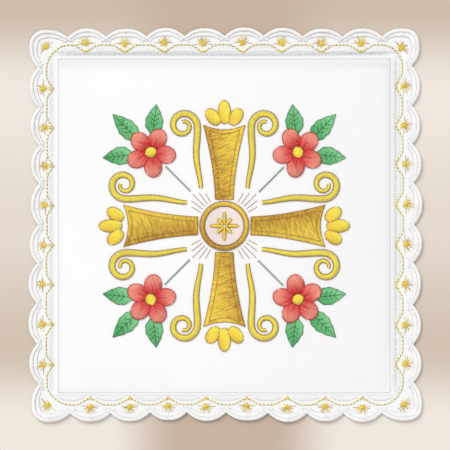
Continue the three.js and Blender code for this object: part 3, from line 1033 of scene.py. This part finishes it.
def star_mesh():
    """Gold stars. Long rays stand along the edge on both sides and shorter ones between them towards the
    edge, many of them brown, with a few short ones towards the seam. Round the heart lies a halo of short
    pale stitches, and crossed stitches are heaped over it. Stitches lie along both flanks and the foot of
    the wave's cusp. Where a side is barred, two thin brown bars run down to the cusp."""
    rng = np.random.default_rng(14)
    centres, turns = star_centres()
    count = len(centres)
    side = np.arange(count) // (SIDE_LOBES + 1)
    bold = edge_value("bold", side)[:, None]
    parts = []

    def add(starts, stops, tone, **look):
        parts.append(laid(starts, stops, border_ground, thread_look(**look), tone))

    angles = np.array(STAR_ANGLES) + rng.uniform(-0.12, 0.12, (count, len(STAR_ANGLES)))
    reach = size("star_reach") * np.array(STAR_SHARES) * edge_value("rays", side)[:, None]
    reach = reach * rng.uniform(0.82, 1.1, angles.shape)
    tone = np.where(
        rng.uniform(0, 1, angles.shape) < np.array(STAR_BROWN),
        rng.uniform(0.6, 1.2, angles.shape),
        rng.uniform(-0.1, 0.3, angles.shape),
    )
    rays = spokes(centres, angles + turns[:, None], 0.5, np.minimum(reach, 4.9))
    add(*rays, tone, width=0.7, height=0.35, lift=0.03, arch=0.05)

    halo = 15
    angles = np.linspace(0, 2 * np.pi, halo, endpoint=False) + rng.uniform(-0.2, 0.2, (count, halo))
    away = rng.uniform(1.2, 2.2, angles.shape) * np.where(bold, 1.0, 0.8)
    tone = rng.uniform(-0.1, 0.2, angles.shape)
    add(*spokes(centres, angles, 0.2, away), tone, width=0.8, height=0.4, lift=0.05, arch=0.06)

    heart = 7
    lean = np.where(bold, np.pi / 2, 0.0) + rng.uniform(-0.6, 0.6, (count, heart)) + turns[:, None]
    long = rng.uniform(0.8, 1.25, (count, heart)).reshape(-1, 1)
    shifted = np.repeat(centres, heart, axis=0) + rng.uniform(-0.28, 0.28, (count * heart, 2))
    tone = rng.uniform(-0.1, 0.25, long.shape)
    crossed = spokes(shifted, lean.reshape(-1, 1), -long, long)
    add(*crossed, tone, width=0.95, height=0.5, lift=0.1, arch=0.2)
    knots = 2
    lean = rng.uniform(0, np.pi, (count * knots, 1))
    shifted = np.repeat(centres, knots, axis=0) + rng.uniform(-0.3, 0.3, (count * knots, 2))
    tone = rng.uniform(0.5, 1.0, lean.shape)
    add(*spokes(shifted, lean, -0.35, 0.35), tone, width=0.85, height=0.5, lift=0.2, arch=0.2)

    own = np.arange(count) % (SIDE_LOBES + 1) != SIDE_LOBES
    centres, turns, bold, side = centres[own], turns[own], bold[own], side[own]
    out = np.abs(np.where(side % 2 == 0, centres[:, 1], centres[:, 0]))
    fall = (out - np.array([wave_cusp(number) for number in range(4)])[side])[:, None]
    count = len(centres)
    across = ray(turns)
    down = -left_of(across)
    for way in (-1, 1):
        for apart in (0.0, 0.35):
            wide = np.where(bold, 2.05, 1.25) - apart + rng.uniform(-0.15, 0.15, (count, 1))
            starts = centres + down * (fall - 1.4) + across * way * wide
            stops = centres + down * (fall - 0.1) + across * way * (np.where(bold, 1.4, 0.2) - apart * 0.4)
            tone = rng.uniform(-0.1, 0.3, count) + np.where(bold[:, 0], 0.0, 0.3)
            add(starts, stops, tone, width=0.8, height=0.45, lift=0.08, arch=0.12)
    for depth in (-0.15, 0.2):
        lean = rng.uniform(-0.2, 0.2, (count, 1))
        half = across * (np.where(bold, 1.5, 0.5) + lean * 0.5)
        middle = centres + down * (fall + depth) + across * lean
        tone = rng.uniform(0.0, 0.5, count)
        add(middle - half, middle + half, tone, width=0.95, height=0.5, lift=0.12, arch=0.12)
    barred = edge_value("barred", side)
    for apart in (-0.25, 0.25):
        starts = (centres + down * 1.2 + across * apart * 2)[barred]
        stops = (centres + down * (fall - 0.5) + across * apart)[barred]
        tone = rng.uniform(0.5, 1.0, len(starts))
        add(starts, stops, tone, width=0.6, height=0.35, lift=0.03, arch=0.06)
    return joined(parts)


def run_stitches(line, pitch, slant):
    """The ends of stitches along a line at an even pitch, each a little longer than its share and slanted
    across the line."""
    points = resampled(line, pitch)[0]
    head = directions(points)
    past = head * pitch * 0.06 + left_of(head) * slant
    return points[:-1] - past[:-1], points[1:] + past[1:]


def wave_mesh():
    """The gold wave: slanted backstitches with a gap between them, and in each gap a short brown stitch that
    lies a little higher and leans the same way, a painted shade of the needle hole there. Each side is
    darker or lighter by its own painted shade."""
    rng = np.random.default_rng(15)
    loop = []
    for side in range(4):
        loop += [side_wave(side)[:-1], corner_wave(side)[:-1]]
    loop = np.concatenate(loop)
    points = resampled(np.concatenate([loop, loop[:1]]), size("wave_stitch"))[0]
    head = directions(points)
    across = left_of(head)
    ahead = points[1:] - points[:-1]
    slant = across[:-1] * 0.16
    starts, stops = points[:-1] + ahead * 0.05 - slant, points[1:] - ahead * 0.05 + slant
    look = thread_look(width=1.85, height=0.4, lift=0.05, arch=0.1, sink=0.08)
    # Painted shade per side: darker where positive, lighter where negative.
    side_painted_shade = edge_value("wave_painted_shade", seam_side(points[:-1, 0], points[:-1, 1]))
    tone = rng.uniform(-0.2, 0.2, len(starts)) + side_painted_shade
    parts = [laid(starts, stops, border_ground, look, tone, steps=7)]
    # A short brown stitch in each gap: painted shade of the needle hole there.
    knot = head[:-1] * 0.3 + across[:-1] * 0.22
    look = thread_look(width=1.3, height=0.45, lift=0.12, arch=0.06)
    tone = rng.uniform(0.7, 1.2, len(starts)) + side_painted_shade * 0.5
    parts.append(laid(points[:-1] - knot, points[:-1] + knot, border_ground, look, tone))
    return joined(parts)


def emblem_ground(x, y):
    """The linen under the emblem."""
    return panel_top(x, y) + 0.02


def quartered(line, quarter, mirrored=False):
    """A line of the emblem's upper quarter, mirrored across if asked, turned by quarters, and set on the
    linen's middle."""
    flipped = line * np.array([-1.0, 1.0]) if mirrored else line
    angle = quarter * np.pi / 2
    turn = np.array([[np.cos(angle), np.sin(angle)], [-np.sin(angle), np.cos(angle)]])
    return flipped @ turn + panel_frame()[0]


def ellipse(middle, long, wide, angle, steps=32):
    """A closed ellipse from its two half axes, the long one at an angle."""
    turn = np.linspace(0, 2 * np.pi, steps, endpoint=False)
    x, y = long * np.cos(turn), wide * np.sin(turn)
    return np.stack([
        middle[0] + x * np.cos(angle) - y * np.sin(angle),
        middle[1] + x * np.sin(angle) + y * np.cos(angle),
    ], axis=-1)


def leaf(root, tip, wide):
    """A closed leaf from root to tip: its half width is the sine of a power of the way, with lobes."""
    share = np.linspace(0, 1, 40)
    half = wide / 2 * np.sin(np.pi * share**0.75) * (0.86 + 0.14 * np.abs(np.cos(np.pi * 4 * share)))
    across = left_of((tip - root) / np.linalg.norm(tip - root)) * half[:, None]
    middle = root + (tip - root) * share[:, None]
    return np.concatenate([middle - across, (middle + across)[::-1][1:-1]])


def cross_arm(inset):
    """The cross's upper arm: its half width grows with a power of the way out, and its end is hollowed by a
    parabola. The inset draws the whole outline in."""
    reach = np.linspace(CROSS["from"] + inset, CROSS["to"] - inset, 30)
    share = (reach - CROSS["from"]) / (CROSS["to"] - CROSS["from"])
    half = CROSS["narrow"] + (CROSS["wide"] - CROSS["narrow"]) * share**1.7 - inset
    across = np.linspace(half[-1], -half[-1], 14)[1:-1]
    end = reach[-1] - CROSS["hollow"] * (1 - (across / half[-1]) ** 2)
    right = np.stack([half, reach], axis=-1)
    left = np.stack([-half, reach], axis=-1)
    return np.concatenate([right, np.stack([across, end], axis=-1), left[::-1]])


def scroll_line():
    """A scroll's middle line: a stem that leans out with a squared sine, then a spiral whose radius falls
    evenly with the angle."""
    middle = np.array(SCROLL["middle"])
    rise = np.linspace(0, 1, 30)[:-1]
    foot = np.array(SCROLL["foot"])
    start = middle + np.array([-SCROLL["radius"], 0.0])
    stem = foot + (start - foot) * rise[:, None]
    stem[:, 0] += 1.3 * np.sin(np.pi * rise) ** 2
    turn = np.linspace(np.pi, np.pi - SCROLL["turns"] * 2 * np.pi, 90)
    share = np.linspace(0, 1, 90)
    radius = SCROLL["radius"] * (1 - 0.72 * share)
    curl = middle + radius[:, None] * ray(turn)
    return np.concatenate([stem, curl])


def scroll_edges(pitch):
    """The two edges of a scroll at an even pitch: its half width swells with the sine of the way."""
    line = resampled(scroll_line(), pitch)[0]
    share = np.linspace(0, 1, len(line))
    half = SCROLL["half"] * (0.3 + 0.7 * np.sin(np.pi * (0.1 + 0.84 * share)))
    across = left_of(directions(line)) * half[:, None]
    return line - across, line + across


def hatch(outline, angle, pitch, longest, rng):
    """Rows of stitches over a closed outline. In a frame turned by the angle, each row is cut where it
    crosses the outline, every second stretch is kept, and long stretches are split at places that step on
    from row to row."""
    turn = np.array([[np.cos(angle), -np.sin(angle)], [np.sin(angle), np.cos(angle)]])
    near = outline @ turn
    far = np.roll(near, -1, axis=0)
    rows = np.arange(near[:, 1].min() + pitch / 2, near[:, 1].max(), pitch)[:, None]
    crosses = (near[:, 1] <= rows) != (far[:, 1] <= rows)
    level = np.where(crosses, far[:, 1] - near[:, 1], 1.0)
    places = np.where(crosses, near[:, 0] + (rows - near[:, 1]) * (far[:, 0] - near[:, 0]) / level, np.inf)
    places = np.sort(places, axis=1)
    starts, stops = [], []
    for column in range(0, crosses.sum(axis=1).max(), 2):
        kept = np.isfinite(places[:, column + 1])
        low, high, y = places[kept, column, None], places[kept, column + 1, None], rows[kept]
        offset = (np.arange(len(rows))[kept, None] * SPLIT_STEP % 1.0) * longest
        first = np.floor((low - offset) / longest) * longest + offset
        split = first + np.arange(int(np.ceil((high - low).max() / longest)) + 2) * longest
        begin = np.clip(split - SPLIT_OVERLAP, low, high)
        end = np.clip(split + longest + SPLIT_OVERLAP, low, high)
        real = end - begin > 0.3
        y = np.broadcast_to(y, begin.shape)[real]
        starts.append(np.stack([begin[real], y], axis=-1))
        stops.append(np.stack([end[real], y], axis=-1))
    starts, stops = np.concatenate(starts), np.concatenate(stops)
    uneven = rng.uniform(-0.1, 0.1, (2, len(starts), 2)) * np.array([1.0, 0.3])
    return (starts + uneven[0]) @ turn.T, (stops + uneven[1]) @ turn.T


def shape(thread, outline, quarter, angle, bright, **other):
    """One filled shape of the emblem in its quarter: its thread, its outline, the angle of its stitches, the
    direction in which it grows lighter, how long its stitches are and how high it lies."""
    placed = {"outline": quartered(outline, quarter), "angle": angle + quarter * np.pi / 2}
    return {"thread": thread, "bright": bright, **placed, **other}


def emblem_shapes():
    """The emblem's filled shapes: a cross with four flared arms, buds at their ends, and in each quarter a
    five-petalled flower with three leaves."""
    shapes = []
    flower = np.array(FLOWER["middle"])
    light = np.array([0.085, 0.06])
    for quarter in range(4):
        arm = cross_arm(0.0)
        across = quartered(np.array([0.062, 0.012]), quarter) - panel_frame()[0]
        shapes.append(shape("gold", arm, quarter, 0.35, across, longest=2.6, lift=0.0))
        for lean, out, away in ((0.62, 49.6, 5.2), (-0.62, 49.6, -5.2), (0.0, 51.8, 0.0)):
            bud = ellipse((away, out), 5.4 if away == 0 else 4.3, 2.9, np.pi / 2 - lean)
            shapes.append(shape("yellow", bud, quarter, 0.9 - lean, light, longest=WHOLE, lift=0.1))
        for number in (0, 2, 1):
            lean = np.pi / 4 + (number - 1) * 0.9
            ahead = ray(lean)
            green = leaf(flower + ahead * 8.0, flower + ahead * (24.5 if number == 1 else 22.0), 8.4)
            shapes.append(shape("green", green, quarter, lean + 0.7, light, longest=4.0, lift=0.0))
        for number in range(5):
            lean = FLOWER["turn"] + number * 2 * np.pi / 5
            ahead = ray(lean)
            petal = ellipse(flower + ahead * FLOWER["petal_at"], FLOWER["long"], FLOWER["wide"], lean)
            outward = quartered(ahead, quarter) - panel_frame()[0]
            shapes.append(shape("red", petal, quarter, lean + 0.5, outward * 0.16, longest=WHOLE, lift=0.25))
        middle = ellipse(flower, 2.5, 2.5, 0.0, 20)
        shapes.append(shape("yellow", middle, quarter, 0.4, light, longest=WHOLE, lift=0.5))
    whole = np.array([0.0, 0.0])
    disc = ellipse(whole, DISC["inside"], DISC["inside"], 0.0, 60)
    shapes.append(shape("pale", disc, 0, 0.3, light, longest=3.2, lift=0.0))
    for number in range(8):
        lean = number * np.pi / 4
        out, long = (3.7, 3.0) if number % 2 == 0 else (2.7, 2.0)
        point = ellipse(ray(lean) * out, long, 0.75, lean)
        shapes.append(shape("yellow", point, 0, lean + 1.2, light, longest=WHOLE, lift=0.2))
    return shapes


def emblem_fill(thread, seed, mottle):
    """The emblem's stitches in one thread. Each shape's tone falls evenly along its bright direction, and a
    mottle is added to each stitch."""
    rng = np.random.default_rng(seed)
    row = size("emblem_row")
    parts = []
    for each in emblem_shapes():
        if each["thread"] != thread:
            continue
        middle = (each["outline"].min(axis=0) + each["outline"].max(axis=0)) / 2
        starts, stops = hatch(each["outline"], each["angle"], row, each["longest"], rng)
        uneven = rng.uniform(-mottle, mottle, (len(starts), 1))

        def shade(x, y):
            lighter = (x - middle[0]) * each["bright"][0] + (y - middle[1]) * each["bright"][1]
            return np.clip(0.45 - lighter, 0, 1) + uneven

        satin = each["longest"] == WHOLE
        arch, tip = (0.32, 0.04) if satin else (0.05, 0.08)
        look = thread_look(width=1.35, height=0.4, lift=each["lift"], arch=arch, sink=0.02)
        parts.append(laid(starts, stops, emblem_ground, look, shade, tip=tip))
    return parts, rng


def scroll_fill(rng):
    """The satin of the eight scrolls, each stitch from one edge to the next place on the other."""
    right, left = scroll_edges(size("emblem_row"))
    parts = []
    for quarter in range(4):
        for mirrored in (False, True):
            starts, stops = quartered(right[:-2], quarter, mirrored), quartered(left[2:], quarter, mirrored)
            tone = rng.uniform(0.0, 0.45, len(starts))
            look = thread_look(width=1.05, height=0.4, lift=0.08, arch=0.28, sink=0.08)
            parts.append(laid(starts, stops, emblem_ground, look, tone))
    return parts


def disc_ring(rng):
    """The gold satin ring round the disc, its stitches almost radial."""
    turn = np.arange(0, 2 * np.pi, size("emblem_row") / DISC["outside"])
    middle = panel_frame()[0]
    starts, stops = middle + ray(turn) * DISC["inside"], middle + ray(turn + 0.06) * DISC["outside"]
    look = thread_look(width=1.1, height=0.4, lift=0.1, arch=0.25)
    tone = np.clip(0.45 - 0.35 * np.sin(turn + 0.6), 0, 1) + rng.uniform(-0.15, 0.15, len(turn))
    return laid(starts, stops, emblem_ground, look, tone)


def outlined(lines, rng, wide=0.85):
    """Short backstitches along lines, each given with the height it lies at, every second one darker."""
    parts = []
    for line, lift in lines:
        starts, stops = run_stitches(line, pitch=0.95, slant=0.06)
        tone = np.arange(len(starts)) % 2 * 0.55 + rng.uniform(0.0, 0.3, len(starts))
        look = thread_look(width=wide, height=wide * 0.55, lift=lift, arch=0.08)
        parts.append(laid(starts, stops, emblem_ground, look, tone, steps=5))
    return joined(parts)


def closed(line):
    """A line with its first point added at its end."""
    return np.concatenate([line, line[:1]])


def brown_lines():
    """The brown outlines of the gold and yellow shapes and the scrolls, the arms' inner lines, the disc's
    two circles, and the rays between the arms."""
    lines = []
    for each in emblem_shapes():
        if each["thread"] in ("gold", "yellow"):
            lines.append((closed(each["outline"]), each["lift"] + 0.12))
    middle = panel_frame()[0]
    for reach in (DISC["inside"], DISC["outside"]):
        lines.append((closed(ellipse(middle, reach, reach, 0.0, 90)), 0.25))
    right, left = scroll_edges(0.5)
    for quarter in range(4):
        lines.append((quartered(closed(cross_arm(2.0)), quarter), 0.14))
        for mirrored in (False, True):
            lines.append((quartered(right, quarter, mirrored), 0.14))
            lines.append((quartered(left, quarter, mirrored), 0.14))
        for step in range(-2, 3):
            places = np.linspace(DISC["outside"] + 1.2, 20.5 - abs(step) * 1.6, 12)
            lines.append((quartered(ray(np.pi / 4 + step * 0.13) * places[:, None], quarter), 0.05))
    return lines


def petal_lines():
    """The petals' outlines, and one short line up each petal's middle."""
    lines = []
    for each in emblem_shapes():
        if each["thread"] == "red":
            outline = each["outline"]
            lines.append((closed(outline), each["lift"] + 0.14))
            inner = outline[len(outline) // 2]
            middle = inner + (outline[0] - inner) * np.linspace(0.1, 0.5, 6)[:, None]
            lines.append((middle, each["lift"] + 0.3))
    return lines


def leaf_lines():
    """The leaves' outlines and veins, and the stems from the rays to the flowers."""
    lines = []
    for each in emblem_shapes():
        if each["thread"] == "green":
            outline = each["outline"]
            root, tip = outline[0], outline[39]
            lines.append((closed(outline), each["lift"] + 0.12))
            lines.append((root + (tip - root) * np.linspace(0.05, 0.9, 12)[:, None], 0.16))
            head = (tip - root) / np.linalg.norm(tip - root)
            across = left_of(head)
            for share in (0.3, 0.45, 0.6):
                foot = root + (tip - root) * share
                for way in (-1, 1):
                    vein = foot + (head * 1.7 + across * way * 2.1) * np.linspace(0, 1, 5)[:, None]
                    lines.append((vein, 0.16))
    diagonal = np.array([1.0, 1.0]) * np.linspace(15.5, 27.0, 16)[:, None]
    for quarter in range(4):
        lines.append((quartered(diagonal, quarter), 0.05))
        lines.append((quartered(diagonal + np.array([0.35, -0.35]), quarter), 0.05))
    return lines


def floor_material():
    """A matt backdrop with painted shade: soft darker bands cross it at the top and near the bottom, and run
    together in a darker strip up its middle, a painted shadow."""
    material, tree, shader = new_material("Pale floor")
    place = add_node(tree, "ShaderNodeTexCoord").outputs["Object"]
    parts = add_node(tree, "ShaderNodeSeparateXYZ", {0: place})
    rise = add_node(tree, "ShaderNodeMapRange", {0: parts.outputs[1], 1: -0.1, 2: 0.1}).outputs[0]
    ramp = add_node(tree, "ShaderNodeValToRGB", {0: rise})
    ramp.color_ramp.interpolation = "EASE"
    bands = ((0.05, 1.0), (0.22, 0.25), (0.5, 0.7), (0.8, 1.0), (1.0, 0.15))
    stops = ramp.color_ramp.elements
    while len(stops) < len(bands):
        stops.new(0.5)
    for stop, (at, share) in zip(stops, bands):
        stop.position = at
        stop.color = (share, share, share, 1.0)
    away = math_node(tree, "ABSOLUTE", parts.outputs[0])
    range_of_sides = {0: away, 1: 0.02, 2: 0.055}
    sides = add_node(tree, "ShaderNodeMapRange", range_of_sides, interpolation_type="SMOOTHSTEP")
    share = math_node(tree, "MULTIPLY", sides.outputs[0], ramp.outputs[0])
    blend = mixed(tree, share, tint("floor_painted_shade"), tint("floor"))
    feed(shader, {"Base Color": blend, "Roughness": 0.9, "Specular IOR Level": 0.1})
    return material


def make_stage():
    """A pale floor, an even sky with one broad soft light from the upper left, and the camera straight above
    at the photograph's framing."""
    scene = bpy.context.scene
    scene.view_settings.view_transform = "Standard"
    extent = 3.0
    mesh = bpy.data.meshes.new("floor")
    corners = [(extent * x, extent * y, 0.0) for x, y in ((-1, -1), (1, -1), (1, 1), (-1, 1))]
    mesh.from_pydata(corners, [], [(0, 1, 2, 3)])
    floor = bpy.data.objects.new("floor", mesh)
    scene.collection.objects.link(floor)
    mesh.materials.append(floor_material())

    world = bpy.data.worlds.new("Studio")
    world.use_nodes = True
    feed(world.node_tree.nodes["Background"], {"Color": (1.0, 0.99, 0.975, 1.0), "Strength": 0.71})
    scene.world = world
    sun = bpy.data.lights.new("key", "SUN")
    sun.angle = 0.6
    sun.energy = 1.7
    holder = bpy.data.objects.new("key", sun)
    holder.location = (-0.45, 0.7, 0.75)
    holder.rotation_mode = "QUATERNION"
    holder.rotation_quaternion = (-holder.location).to_track_quat("-Z", "Y")
    scene.collection.objects.link(holder)

    height = 1.4
    frame_width = PHOTO_WIDTH / PALL_WIDTH * size("overall") * MM
    camera = bpy.data.cameras.new("camera")
    camera.sensor_width = 36.0
    camera.lens = camera.sensor_width * height / frame_width
    camera.clip_end = 20.0
    holder = bpy.data.objects.new("camera", camera)
    holder.location = (0.0, -0.0002, height)
    scene.collection.objects.link(holder)
    scene.camera = holder


class PALL_OT_panel(bpy.types.Operator):
    """Make the stiffened linen square in the middle"""

    bl_idname = "pall.panel"
    bl_label = "Linen square"

    def execute(self, context):
        material = cloth_material("Panel linen", tint("linen"), 2200.0, 0.5, 0.00005, tint("linen_painted_shade"))
        piece = new_piece("panel_cloth", panel_mesh(), material)
        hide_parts("panel")
        return {"FINISHED"}


class PALL_OT_border(bpy.types.Operator):
    """Make the scalloped border's cloth"""

    bl_idname = "pall.border"
    bl_label = "Border cloth"

    def execute(self, context):
        material = cloth_material("Border cloth", tint("border"), 1900.0, 0.7, 0.00006, tint("holes"))
        piece = new_piece("border_cloth", border_mesh(), material)
        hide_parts("border")
        outline = np.concatenate([lobe["outer"][:-1] for lobe in all_lobes(30)])
        half = panel_frame()[1] + SEAM_GAP
        reach = size("overall") / 2 - half.mean()
        middle_line = 8 * (size("overall") / 2 - reach / 2)
        return {"FINISHED"}


class PALL_OT_edge_satin(bpy.types.Operator):
    """Make the satin edges of the scallops"""

    bl_idname = "pall.edge_satin"
    bl_label = "Satin edges"

    def execute(self, context):
        white = tint("white")
        material = thread_material("White edge thread", white, darker(white, 0.95), painted_end_shade=0.1, relief=0.3)
        new_piece("edge_satin", edge_satin_mesh(), material)
        return {"FINISHED"}


class PALL_OT_inner_satin(bpy.types.Operator):
    """Make the white crescents and the fine stitches of the seam"""

    bl_idname = "pall.inner_satin"
    bl_label = "Inner crescents and seam"

    def execute(self, context):
        white = tint("white")
        material = thread_material("White inner thread", white, darker(white, 0.95), painted_end_shade=0.1, relief=0.3)
        new_piece("inner_satin", inner_satin_mesh(), material)
        new_piece("seam_stitches", seam_mesh(), material)
        return {"FINISHED"}


class PALL_OT_gold(bpy.types.Operator):
    """Make the gold stars and the gold wave"""

    bl_idname = "pall.gold"
    bl_label = "Gold stars and wave"

    def execute(self, context):
        stars = thread_material("Gold star thread", tint("gold"), tint("deep_gold"), 0.4)
        wave = thread_material("Gold wave thread", tint("wave"), tint("deep_wave"), 0.4, painted_end_shade=0.35)
        new_piece("gold_stars", star_mesh(), stars)
        new_piece("gold_wave", wave_mesh(), wave)
        return {"FINISHED"}


class PALL_OT_emblem_gold(bpy.types.Operator):
    """Make the emblem's gold cross, its ring and the yellow buds and scrolls"""

    bl_idname = "pall.emblem_gold"
    bl_label = "Emblem gold"

    def execute(self, context):
        colours = tint("metallic"), tint("deep_metallic")
        metallic = thread_material("Metallic gold thread", *colours, 0.32, metallic=0.15)
        parts, rng = emblem_fill("gold", 21, 0.34)
        new_piece("emblem_gold", joined([*parts, disc_ring(rng)]), metallic)
        yellow = thread_material("Yellow thread", tint("yellow"), tint("deep_yellow"), 0.36)
        parts, rng = emblem_fill("yellow", 22, 0.2)
        new_piece("emblem_yellow", joined([*parts, *scroll_fill(rng)]), yellow)
        return {"FINISHED"}


class PALL_OT_emblem_flowers(bpy.types.Operator):
    """Make the emblem's red petals, green leaves and pale disc"""

    bl_idname = "pall.emblem_flowers"
    bl_label = "Emblem flowers"

    def execute(self, context):
        red = thread_material("Red thread", tint("pink"), tint("red"), 0.36)
        new_piece("emblem_petals", joined(emblem_fill("red", 23, 0.2)[0]), red)
        green = thread_material("Green thread", tint("green"), tint("leaf"), 0.4)
        new_piece("emblem_leaves", joined(emblem_fill("green", 24, 0.18)[0]), green)
        pale = thread_material("Pale pink thread", tint("pale"), darker(tint("pale"), 0.93), 0.4)
        new_piece("emblem_disc", joined(emblem_fill("pale", 25, 0.3)[0]), pale)
        return {"FINISHED"}


class PALL_OT_emblem_lines(bpy.types.Operator):
    """Make the emblem's brown, dark red and dark green lines"""

    bl_idname = "pall.emblem_lines"
    bl_label = "Emblem lines"

    def execute(self, context):
        rng = np.random.default_rng(26)
        brown = thread_material("Brown thread", tint("brown"), tint("deep_brown"))
        new_piece("emblem_brown_lines", outlined(brown_lines(), rng), brown)
        red = thread_material("Dark red thread", tint("red"), tint("deep_red"))
        new_piece("emblem_petal_lines", outlined(petal_lines(), rng, 1.05), red)
        green = thread_material("Dark green thread", tint("deep_green"), darker(tint("deep_green"), 0.6))
        new_piece("emblem_leaf_lines", outlined(leaf_lines(), rng, 0.75), green)
        return {"FINISHED"}


class PALL_OT_stage(bpy.types.Operator):
    """Make the floor, the lights and the camera"""

    bl_idname = "pall.stage"
    bl_label = "Stage"

    def execute(self, context):
        make_stage()
        return {"FINISHED"}


class PALL_PT_sidebar(bpy.types.Panel):
    """The pall's sizes, colours and pieces"""

    bl_idname = "PALL_PT_sidebar"
    bl_label = "Chalice pall"
    bl_space_type = "VIEW_3D"
    bl_region_type = "UI"
    bl_category = "Pall"

    def draw(self, context):
        for operator in OPERATORS:
            self.layout.operator(operator.bl_idname)
        for group in (context.scene.pall_sizes, context.scene.pall_colours):
            for name in group.__annotations__:
                self.layout.prop(group, name)


OPERATORS = (
    PALL_OT_panel,
    PALL_OT_border,
    PALL_OT_edge_satin,
    PALL_OT_inner_satin,
    PALL_OT_gold,
    PALL_OT_emblem_gold,
    PALL_OT_emblem_flowers,
    PALL_OT_emblem_lines,
    PALL_OT_stage,
)
CLASSES = (PallSizes, PallColours, *OPERATORS, PALL_PT_sidebar)


def register():
    """Registers the classes and puts the sizes and colours on the scene."""
    for each in CLASSES:
        bpy.utils.register_class(each)
    bpy.types.Scene.pall_sizes = bpy.props.PointerProperty(type=PallSizes)
    bpy.types.Scene.pall_colours = bpy.props.PointerProperty(type=PallColours)


def unregister():
    """Takes away what register added."""
    del bpy.types.Scene.pall_colours
    del bpy.types.Scene.pall_sizes
    for each in reversed(CLASSES):
        bpy.utils.unregister_class(each)


def main():
    """Makes every piece in order."""
    register()
    bpy.ops.pall.panel()
    bpy.ops.pall.border()
    bpy.ops.pall.edge_satin()
    bpy.ops.pall.inner_satin()
    bpy.ops.pall.gold()
    bpy.ops.pall.emblem_gold()
    bpy.ops.pall.emblem_flowers()
    bpy.ops.pall.emblem_lines()
    bpy.ops.pall.stage()


if __name__ == "__main__":
    main()
